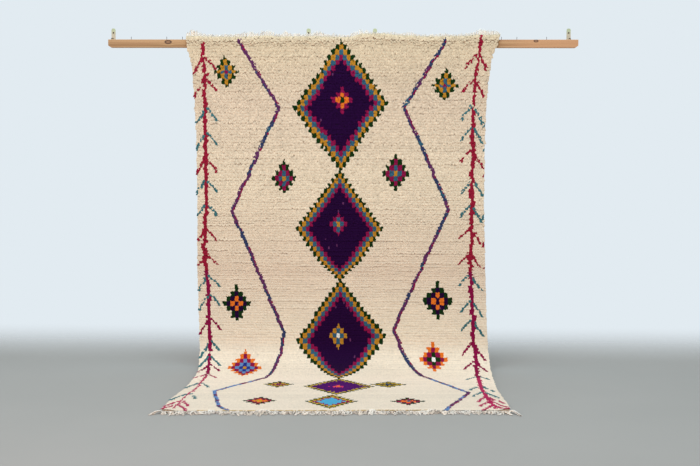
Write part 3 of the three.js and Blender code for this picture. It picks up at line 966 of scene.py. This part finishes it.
def make_ground():
    # The rows are odd in number, so the last one is split for the coarse side
    places = np.insert(row_edges, -1, (row_edges[-2] + row_edges[-1]) / 2)
    rows = ROWS + 1
    sides = np.linspace(-1, 1, KNOTS + 1)
    back = sheet_points(sides, places, 0.0)
    under = sheet_points(sides[::COARSE], places[::COARSE], GROUND_THICK)
    back_ids = np.arange(len(back)).reshape(rows + 1, KNOTS + 1)
    under_ids = len(back) + np.arange(len(under)).reshape(rows // COARSE + 1, KNOTS // COARSE + 1)
    rims = [
        rim_faces(back_ids[0], under_ids[0]),
        rim_faces(back_ids[-1], under_ids[-1])[:, ::-1],
        rim_faces(back_ids[:, 0], under_ids[:, 0])[:, ::-1],
        rim_faces(back_ids[:, -1], under_ids[:, -1]),
    ]
    faces = [grid_faces(back_ids), grid_faces(under_ids)[:, ::-1], *rims]
    piece = make_piece("rug_ground", np.concatenate([back, under]), faces, WEAVE)
    light = knot_light[np.minimum(np.arange(rows), ROWS - 1)]
    dye = [light.reshape(-1, 3) * BACK_TONE, light[::COARSE, ::COARSE].reshape(-1, 3) * UNDER_PILE_SHADE]
    dye += [np.tile(dye_light[0] * BACK_TONE, (len(rim), 1)) for rim in rims]
    store(piece, "dye", "FACE", np.concatenate(dye))
    side, place = np.meshgrid(np.linspace(0, 1, KNOTS + 1), np.linspace(0, 1, rows + 1))
    back_flat = np.stack([MAP_MARGIN + MAP_SIDE * side, place], axis=-1)
    under_flat = np.stack([1 - MAP_MARGIN - MAP_SIDE * side, place], axis=-1)
    counted = np.stack(np.meshgrid(np.arange(KNOTS + 1.0), np.arange(rows + 1.0)), axis=-1)
    for name, upper, lower in (("OFBake", back_flat, under_flat), ("knots", counted, counted)):
        parts = [upper.reshape(-1, 2), lower[::COARSE, ::COARSE].reshape(-1, 2)]
        store_map(piece, name, np.concatenate(parts))
    return piece


ground = make_ground()
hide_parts("rug_cloth")

# %% [markdown]
# ## Loose yarn
#
# The fringes are made of short yarns. Each yarn is a tube along its own wavy line. `tubes`
# makes any number of them at once: it sets a small ring of points round each place of each
# line and joins the rings with faces.


# %% Tubes along many lines
def tube_faces(count, places, sides):
    """Faces and end caps of closed tubes, their points numbered tube by tube and ring by ring."""
    first = np.arange(count)[:, None] * places * sides
    faces = []
    for place in range(places - 1):
        for side in range(sides):
            a = place * sides + side
            b = place * sides + (side + 1) % sides
            faces.append(first + np.array([a, b, b + sides, a + sides]))
    ends = np.arange(sides)
    caps = [first + ends[::-1], first + (places - 1) * sides + ends]
    return np.concatenate(faces), np.concatenate(caps)


def tubes(lines, radii, sides):
    """Points and faces of closed tubes, from lists of lines (count, places, 3) and their radii."""
    lines, radii = np.concatenate(lines), np.concatenate(radii)
    count, places = radii.shape
    ahead = np.gradient(lines, axis=1)
    ahead /= np.linalg.norm(ahead, axis=-1, keepdims=True)
    guide = np.where(np.abs(ahead[..., 2:3]) < 0.9, [0.0, 0.0, 1.0], [0.0, 1.0, 0.0])
    right = np.cross(ahead, guide)
    right /= np.linalg.norm(right, axis=-1, keepdims=True)
    up = np.cross(right, ahead)
    turn = np.arange(sides) / sides * 2 * np.pi
    ring = right[:, :, None] * np.cos(turn)[:, None] + up[:, :, None] * np.sin(turn)[:, None]
    points = lines[:, :, None] + ring * radii[:, :, None, None]
    return points.reshape(-1, 3), *tube_faces(count, places, sides)


def vary(number, salt):
    """A fixed value from 0 to 1 for each whole number, as the solid fringes use."""
    value = np.sin(number * 12.9898 + salt * 78.233) * 43758.5453
    return value - np.floor(value)


def join_parts(parts):
    """Joins (points, faces, caps) of several makings into one set."""
    counts = [len(points) for points, _, _ in parts]
    firsts = np.cumsum(counts) - counts
    faces = np.concatenate([part[1] + first for part, first in zip(parts, firsts)])
    caps = np.concatenate([part[2] + first for part, first in zip(parts, firsts)])
    return np.concatenate([part[0] for part in parts]), faces, caps


# %% Finish: undyed warp
PAINTED_SHADE_SHARE = 0.95


def make_warp():
    finish = Finish("undyed_warp")
    fine = finish.noise(1.0, 3.0, 0.6, place=finish.place((260, 90, 260)))
    cloudy = finish.noise(22.0, 2.0)
    colour = finish.mix(cloudy.step(0.3, 0.7), (255, 248, 236), (252, 238, 220))
    # Yarns are mixed towards a dark brown by their painted shade: shade among the yarns
    colour = finish.mix(finish.stored("painted_shade") * PAINTED_SHADE_SHARE, colour, (92, 72, 62))
    colour = finish.shade(colour, 0.86 + 0.3 * fine)
    return finish.surface(colour, 0.95, relief=fine, depth=0.0012, Sheen_Weight=0.2, Specular_IOR_Level=0.2)


WARP = make_warp()

# %% [markdown]
# ### One piece of strip and yarns
#
# Both fringes are put together in the same way: a woven strip, which is a flat closed tube,
# and yarns with their roots in it. Each yarn gets a painted shade from 0 to 1, which stands
# for the shade among the yarns, and most yarns are bright.

# %% A strip with its yarns
# The strip is darkened a little by the same dark brown mix
STRIP_DARKENING = 0.10


def strip(across, middle, low, depth, height, sides, lumps_out, lumps_up):
    """Points, faces and caps of a flat tube across the rug, with small lumps."""
    turn = np.arange(sides) / sides * 2 * np.pi
    y = middle + depth / 2 * np.cos(turn) * lumps_out
    z = low + height / 2 * (1 + np.sin(turn) * lumps_up)
    points = np.stack(np.broadcast_arrays(across, y, np.maximum(z, low)), axis=-1)
    return points.reshape(-1, 3), *tube_faces(1, len(across), sides)


def middles(left, right, count):
    """The middles of equal parts from left to right."""
    return left + (right - left) * (np.arange(count) + 0.5) / count


def column(seed, count):
    """A function that draws one random value for each of some yarns, as a column."""
    draw = np.random.default_rng(seed)
    return lambda low, high: draw.uniform(low, high, count)[:, None]


def make_fringe(name, band, yarns, yarn_points, seed, shade_most=1.0):
    """Joins a strip and its yarns, each of so many points, into one piece."""
    first = len(band[0])
    groups = [band[1], band[2], yarns[1] + first, yarns[2] + first]
    piece = make_piece(name, np.concatenate([band[0], yarns[0]]), groups, WARP)
    painted_shade = np.random.default_rng(seed).random(len(yarns[0]) // yarn_points) ** 4 * shade_most
    values = np.concatenate([np.full(first, STRIP_DARKENING), np.repeat(painted_shade, yarn_points)])
    store(piece, "painted_shade", "POINT", values)
    return piece


# %% [markdown]
# ## The fringe on the floor
#
# It has 128 locks, each of seven soft yarns that twist round the lock's middle line, taper
# and rest on the floor. A narrow woven strip holds their roots. The lengths and the sway come
# from the same rules as the solid's, so the yarns fill the solid's form. Their ends gather in
# clumps a few locks wide. At some places the end of the rug stands up in a low arch, and dark
# gaps show under it.

# %% Sizes of the fringe
# The strip, with four places for each lock, and its lumps
STRIP_DEPTH, STRIP_HEIGHT, STRIP_FLAT = 0.009, 0.0065, 0.98
STRIP_SIDES, STRIP_FINE = 10, 4
LUMP_RISE, LUMP_PITCH, LUMP_DRIFT, LUMP_MOST = 0.12, 0.012, 0.08, 0.2
# The locks: their size, how deep they start in the strip, and how they sway and gather
FRINGE_LOCKS = 128
LOCK_HALF, LOCK_SHORT, LOCK_LONG, LOCK_ROOT = 0.0038, 0.036, 0.078, 0.004
SWAY_REACH, SWAY_WAVES = 0.009, (5, 13)
GATHER = {"width": 0.052, "pull": 0.7, "short": 0.22, "wander": 0.022}
# The yarns of a lock: two numbers in brackets are the least and the most of a random value
YARNS, YARN_PLACES, YARN_SIDES = 7, 8, 4
YARN_RADIUS, YARN_WIDTHS, YARN_TAPER = 0.0019, (0.85, 1.15), 0.45
YARN_TURNS, YARN_REACH = (0.5, 1.6), (0.45, 1.0)
RING_SHARE, RING_TAPER, RING_FLAT = 0.75, 0.25, 0.55
WAVE_REACH, WAVE_TURNS = 0.0065, (3, 9)
HOP_OVER, HOP_RISE = 0.6, 0.006
ARCHES = table(
    "across half rise",
    (-0.52, 0.020, 0.007), (-0.30, 0.030, 0.009), (0.04, 0.018, 0.006), (0.17, 0.020, 0.008),
    (0.43, 0.024, 0.008),
)
ARCH_FROM, ARCH_TO = 0.1, 0.75
TAILS = table(
    "side out forward width rise yarns",
    (-1, 0.056, 0.062, 0.017, 0.012, 11),
    (1, 0.054, 0.084, 0.016, 0.013, 11),
)
TAIL_SPREAD, TAIL_GATHER, TAIL_REACH = 0.36, 0.55, (0.78, 1.0)
TAIL_WAVE, TAIL_TURNS = 0.003, 9
TAIL_RADIUS, TAIL_WIDTHS, TAIL_TAPER = 0.0021, (0.8, 1.2), 0.5
TAIL_ARCH, TAIL_RISES = 1.05, (0.5, 1.0)
FRINGE_GAP = 0.0003
fringe_left = -EDGES[-1]["left"]
fringe_right = EDGES[-1]["right"]


def front_at(across):
    return -(REACH + read(FRONT, across, "past") + FRINGE_GAP)


def arch_at(across):
    return sum(arch["rise"] * hump(across - arch["across"], arch["half"]) for arch in ARCHES)


print("fringe from", fringe_left, "to", fringe_right, "yarns", FRINGE_LOCKS * YARNS)


# %% Yarns of the fringe
def floor_yarns():
    number = np.arange(FRINGE_LOCKS)
    across = middles(fringe_left, fringe_right, FRINGE_LOCKS)
    long = LOCK_SHORT + (LOCK_LONG - LOCK_SHORT) * vary(number, 3)
    turn = 2 * np.pi * number / FRINGE_LOCKS
    sway = sum(np.sin(turn * wave + k) for k, wave in enumerate(SWAY_WAVES)) * SWAY_REACH / 2
    wander = GATHER["wander"] * drift(FRINGE_LOCKS, step=6, seed=63)
    gather = 2 * np.pi * (across + wander) / GATHER["width"]
    sway = sway - GATHER["pull"] * GATHER["width"] / (2 * np.pi) * np.sin(gather)
    long = long * (1 - GATHER["short"] * (0.5 - 0.5 * np.cos(gather)))
    across, long, sway = across[:, None], long[:, None], sway[:, None]
    share = np.linspace(0, 1, YARN_PLACES)
    ring = LOCK_HALF * RING_SHARE * (1 - RING_TAPER * share)
    arch = arch_at(across) * (1 - smooth_step(share, ARCH_FROM, ARCH_TO))
    each = column(61, FRINGE_LOCKS)
    lines, radii = [], []
    for yarn in range(YARNS):
        phase = 2 * np.pi * yarn / YARNS + each(0, 1)
        twist = phase + each(*YARN_TURNS) * 2 * np.pi * share
        reach = long * each(*YARN_REACH)
        wave = WAVE_REACH * np.sin(share * each(*WAVE_TURNS) + phase * 3) * share
        x = across + sway * share**2 + ring * np.cos(twist) + wave
        y = front_at(across) - STRIP_DEPTH + LOCK_ROOT - reach * share
        radius = YARN_RADIUS * (1 - YARN_TAPER * share**2) * each(*YARN_WIDTHS)
        hop = (each(0, 1) > HOP_OVER) * HOP_RISE * np.sin(np.pi * share) ** 2
        low = ring * RING_FLAT * (1 + np.sin(twist))
        lines.append(np.stack([x, y, FLOOR + radius + low + hop + arch], axis=-1))
        radii.append(radius)
    return tubes(lines, radii, YARN_SIDES)


def tail_yarns(side, out, forward, width, rise, yarns):
    share = np.linspace(0, 1, YARN_PLACES)
    each = column(70 + side, yarns)
    corner = fringe_left if side < 0 else fringe_right
    root = np.array([corner - side * width / 2, front_at(corner) + LOCK_ROOT])
    run = np.array([side * out, -forward])
    aside = np.array([-run[1], run[0]]) / np.hypot(*run)
    spread = np.linspace(-1, 1, yarns)[:, None] * width * TAIL_SPREAD * (1 - TAIL_GATHER * share**2)
    spread = spread + TAIL_WAVE * np.sin(share * TAIL_TURNS + each(0, 6)) * share
    reach = each(*TAIL_REACH) * share
    radius = TAIL_RADIUS * (1 - TAIL_TAPER * share**2) * each(*TAIL_WIDTHS)
    high = rise * np.sin(np.pi * np.clip(share * TAIL_ARCH, 0, 1)) * each(*TAIL_RISES)
    x, y = [root[axis] + run[axis] * reach + aside[axis] * spread for axis in (0, 1)]
    return tubes([np.stack([x, y, FLOOR + radius + high], axis=-1)], [radius], YARN_SIDES)


# %% The fringe's strip, and all of it together
def floor_strip():
    across = np.linspace(fringe_left, fringe_right, STRIP_FINE * FRINGE_LOCKS + 1)[:, None]
    lumps = 1 + LUMP_RISE * np.sin(across * 2 * np.pi / LUMP_PITCH)
    lumps = lumps + LUMP_DRIFT * drift(len(across), step=2, seed=80)[:, None]
    middle, low = front_at(across) - STRIP_DEPTH / 2, FLOOR + arch_at(across)
    sizes = STRIP_DEPTH, STRIP_HEIGHT, STRIP_SIDES
    return strip(across, middle, low, *sizes, STRIP_FLAT, lumps.clip(1 - LUMP_MOST, 1 + LUMP_MOST))


yarns = join_parts([floor_yarns(), *[tail_yarns(**tail) for tail in TAILS]])
floor_fringe = make_fringe("loose_fringe", floor_strip(), yarns, YARN_PLACES * YARN_SIDES, seed=62)
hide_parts("floor_fringe")

# %% [markdown]
# ## The stubs on the rail
#
# Along the hem on the rail the warps were cut short. They stand up behind the hem in a
# narrow strip, fuzzy and in clumps, so each solid stub becomes eleven fine, curly ends, which
# are a little longer than it where they fray. At a few places they form a higher tuft, and
# in front of one bracket they are short.

# %% Stubs along the hem
STUBS = 118
STUB_SHORT, STUB_LONG = 0.008, 0.023
STUB_STRIP_THICK, STUB_STRIP_HEIGHT = 0.0036, 0.009
STUB_STRIP_SIDES, STUB_STRIP_FINE = 8, 3
STUB_LUMP, STUB_LUMP_PITCH = 0.1, 0.007
STUB_YARNS, STUB_PLACES, STUB_SIDES = 11, 6, 3
STUB_BACK = HEM_OUT - FRINGE_GAP
TUFTS = table(
    "across half rise",
    (-0.765, 0.045, 0.015), (-0.480, 0.050, 0.015), (-0.375, 0.035, 0.015),
    (-0.288, 0.022, 0.015), (-0.125, 0.035, 0.015), (0.090, 0.036, 0.012),
    (0.168, 0.040, -0.008), (0.735, 0.060, 0.015),
)
STUB_RADIUS, STUB_FRAY, STUB_ROOT = 0.0014, 0.005, 0.003
STUB_ASIDE, STUB_CURLS, STUB_REACH = 0.0065, (0.001, 0.007), (0.6, 1.0)
STUB_SWAY, STUB_TAPER = 0.0012, 0.5
CLUMP_WAVES = 0.7, 0.23
# The yarns of a tuft are thicker, by this much for each metre that it rises
TUFT_FULL = 33
# The stub yarns get less of the painted shade than the fringe on the floor
STUB_SHADE_MOST = 0.6
stub_left, stub_right = -EDGES[0]["left"], EDGES[0]["right"]


def hem_lift(across):
    return RAIL_TOP + read(LIFT, across, "lift")


def stub_yarns():
    number = np.arange(STUBS)
    across = middles(stub_left, stub_right, STUBS)
    clump = 0.5 + 0.5 * np.sin(number * CLUMP_WAVES[0]) * np.sin(number * CLUMP_WAVES[1] + 1)
    tuft = sum(tuft["rise"] * hump(across - tuft["across"], tuft["half"]) for tuft in TUFTS)
    tall = STUB_SHORT + (STUB_LONG - STUB_SHORT) * clump * vary(number, 1) + tuft + STUB_FRAY
    across, tuft, tall = across[:, None], tuft[:, None], tall[:, None]
    share = np.linspace(0, 1, STUB_PLACES)
    each = column(90, STUBS)
    lines, radii = [], []
    for yarn in range(STUB_YARNS):
        aside, curl, phase = each(-STUB_ASIDE, STUB_ASIDE), each(*STUB_CURLS), each(0, 6)
        reach = tall * each(*STUB_REACH)
        x = across + aside + curl * np.sin(share * 4 + phase) * share
        y = STUB_STRIP_THICK / 2 - STUB_BACK + STUB_SWAY * np.sin(share * 5 + phase * 2) * share
        z = hem_lift(across) + STUB_STRIP_HEIGHT - STUB_ROOT + (reach + STUB_ROOT) * share
        lines.append(np.stack([x, y, z], axis=-1))
        radii.append(STUB_RADIUS * (1 - STUB_TAPER * share) * (1 + TUFT_FULL * tuft))
    return tubes(lines, radii, STUB_SIDES)


def stub_strip():
    across = np.linspace(stub_left, stub_right, STUB_STRIP_FINE * STUBS + 1)[:, None]
    lumps = 1 + STUB_LUMP * np.sin(across * 2 * np.pi / STUB_LUMP_PITCH)
    sizes = STUB_STRIP_THICK, STUB_STRIP_HEIGHT, STUB_STRIP_SIDES
    middle = STUB_STRIP_THICK / 2 - STUB_BACK
    return strip(across, middle, hem_lift(across), *sizes, lumps.clip(1 - STUB_LUMP, 1), STRIP_FLAT)


stubs = make_fringe("hem_stubs", stub_strip(), stub_yarns(), STUB_PLACES * STUB_SIDES, 91, STUB_SHADE_MOST)
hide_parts("top_fringe")

# %% [markdown]
# ## The sheet's flat size
#
# The ground is the cloth that was cut from the loom. Its flat size is its mean width by its
# length along the back.

# %% Flat size
FLAT_STEPS = 200
flat_places = np.linspace(0, RUG_LENGTH, FLAT_STEPS)
flat_width = float((edge_at(1.0, flat_places) - edge_at(-1.0, flat_places)).mean())
print("flat size", round(flat_width, 3), "by", round(float(RUG_LENGTH), 3))

# %% [markdown]
# ## Finish: the pine rail
#
# Planed pine shows long grain lines that swerve round small dark knots. The grain is noise
# stretched along the rail. Each knot is an oval: near it the grain is pushed aside, its rim
# is dark and its heart a little paler. The rail's right end is redder.

# %% Pine
KNOTS_IN_PINE = table(
    "x z long high",
    (-0.891, 0.0075, 0.0165, 0.0090), (0.986, 0.0135, 0.0110, 0.0062),
)


def make_pine():
    finish = Finish("planed_pine")
    x, y, z = [finish.place().axis(name) for name in "XYZ"]
    bend = rim = heart = 0.0
    for knot in KNOTS_IN_PINE:
        across = (z - knot["z"]) / knot["high"]
        along = (x - knot["x"]) / knot["long"]
        away = (across * across + along * along) ** 0.5
        near = 1 - away.step(0.6, 3.2)
        bend = bend + near * across * (knot["high"] * 0.5)
        rim = rim + away.step(0.45, 0.85) * (1 - away.step(0.95, 1.35))
        heart = heart + (1 - away.step(0.5, 0.9))
    grain_place = finish.node("CombineXYZ", {}, {"X": x * 1.6, "Y": y * 55.0, "Z": (z - bend) * 90.0})
    grain = finish.noise(1.0, 3.0, 0.55, place=grain_place)
    fine = finish.noise(1.0, place=finish.place((30, 900, 900)))
    broad = finish.noise(1.0, 1.0, place=finish.place((2.2, 20, 20)))
    colour = finish.mix(grain.step(0.36, 0.62), (158, 118, 78), (194, 155, 109))
    colour = finish.mix(broad.step(0.35, 0.7) * 0.45, colour, (198, 147, 106))
    colour = finish.mix(x.step(0.7, 1.0) * 0.5, colour, (220, 158, 114))
    colour = finish.mix(heart.step(0.0, 1.0) * 0.6, colour, (112, 70, 50))
    colour = finish.mix(rim.step(0.0, 1.0) * 0.85, colour, (62, 32, 24))
    colour = finish.shade(colour, 0.93 + 0.12 * fine)
    rough = 0.52 + 0.16 * fine
    relief = grain * 0.6 + fine * 0.4
    return finish.surface(colour, rough, relief=relief, depth=0.0005, Specular_IOR_Level=0.35)


PINE = make_pine()

# %% [markdown]
# ## Finish: brass and steel
#
# The brackets are thin plated sheet: smooth, a little dull and greenish towards their round
# top ends. The screws and nails are dark steel with a trace of brown.


# %% Metals
def make_brass():
    finish = Finish("dulled_brass")
    cloudy = finish.noise(90.0, 3.0)
    scuffs = finish.noise(1.0, place=finish.place((900, 900, 120)))
    aged = finish.place().axis("Z").step(RAIL_TOP + 0.020, RAIL_TOP + 0.056)
    colour = finish.mix(aged, (202, 190, 166), (188, 198, 160))
    colour = finish.mix(cloudy.step(0.45, 0.75) * 0.3, colour, (190, 172, 140))
    rough = 0.52 + 0.22 * cloudy + 0.08 * scuffs
    return finish.surface(colour, rough, relief=scuffs, depth=0.0002, Metallic=0.25)


def make_steel():
    finish = Finish("dark_steel")
    cloudy = finish.noise(400.0, 3.0)
    colour = finish.mix(cloudy.step(0.4, 0.7), (84, 62, 52), (56, 36, 30))
    return finish.surface(colour, 0.45 + 0.25 * cloudy, relief=cloudy, depth=0.0002, Metallic=0.4)


SLOT_FINISHES = {"pine": PINE, "brass": make_brass(), "steel": make_steel(), "wool": WOOL, "warp": WARP}
slot_of = {part["node"]: part["material_slot"] for part in frame["record"]["subparts"]}
for name, node in frame["nodes"].items():
    node.data.materials.clear()
    node.data.materials.append(SLOT_FINISHES[slot_of[name]])
print("finishes given to", len(slot_of), "solids")

# %% [markdown]
# ## Floor and light
#
# A plain pale floor catches the soft shadow under the front end. Its far parts fade away, so
# no hard horizon cuts the picture. The sky lights everything evenly. A wide, cool lamp high
# above the front end gives the pile its small shadows, and a warm one far in front, a little
# to the left, lights the hanging part.

# %% Floor
FLOOR_REACH, FLOOR_AT = 9.0, (0, -0.6, FLOOR - 0.0005)
FADE_FROM, FADE_TO = 3.2, 6.5
BEHIND_FROM, BEHIND_TO = 0.75, 2.2


def make_floor():
    finish = Finish("pale_floor")
    point = finish.place()
    away = finish.node("VectorMath", {"operation": "LENGTH"}, {"Vector": point}, out="Value")
    cloudy = finish.noise(1.3, 3.0)
    colour = finish.mix(cloudy, (158, 155, 149), (166, 162, 156))
    solid = (1 - away.step(FADE_FROM, FADE_TO)) * (1 - point.axis("Y").step(BEHIND_FROM, BEHIND_TO))
    return finish.surface(colour, 0.75, Alpha=solid, Specular_IOR_Level=0.25)


corners = np.array([[-1, -1], [1, -1], [1, 1], [-1, 1]]) * FLOOR_REACH
floor_mesh = bpy.data.meshes.new("floor")
floor_mesh.from_pydata([(*corner, 0.0) for corner in corners.tolist()], [], [(0, 1, 2, 3)])
floor_mesh.materials.append(make_floor())
floor = bpy.data.objects.new("floor", floor_mesh)
floor.location = FLOOR_AT
scene.collection.objects.link(floor)

# %% Light
world = bpy.data.worlds.new("studio")
world.use_nodes = True
background = world.node_tree.nodes["Background"]
background.inputs["Color"].default_value = (*linear(226, 235, 241), 1.0)
background.inputs["Strength"].default_value = 1.0
scene.world = world
scene.view_settings.view_transform = "Standard"

LAMPS = table(
    "at aim size power colour",
    ((-0.2, -1.7, 2.2), (0, -1.1, -1.7), 2.0, 62, (0.6, 0.87, 1)),
    ((-1.4, -5.2, 0.6), (0, 0, -1.1), 2.4, 63, (1, 0.52, 0.38)),
)
for lamp in LAMPS:
    light = bpy.data.lights.new("lamp", "AREA")
    light.size = lamp["size"]
    light.energy = lamp["power"]
    light.color = lamp["colour"]
    shine = bpy.data.objects.new("lamp", light)
    shine.location = lamp["at"]
    shine.rotation_euler = (Vector(lamp["aim"]) - shine.location).to_track_quat("-Z", "Y").to_euler()
    scene.collection.objects.link(shine)
print("lamps", len(LAMPS))
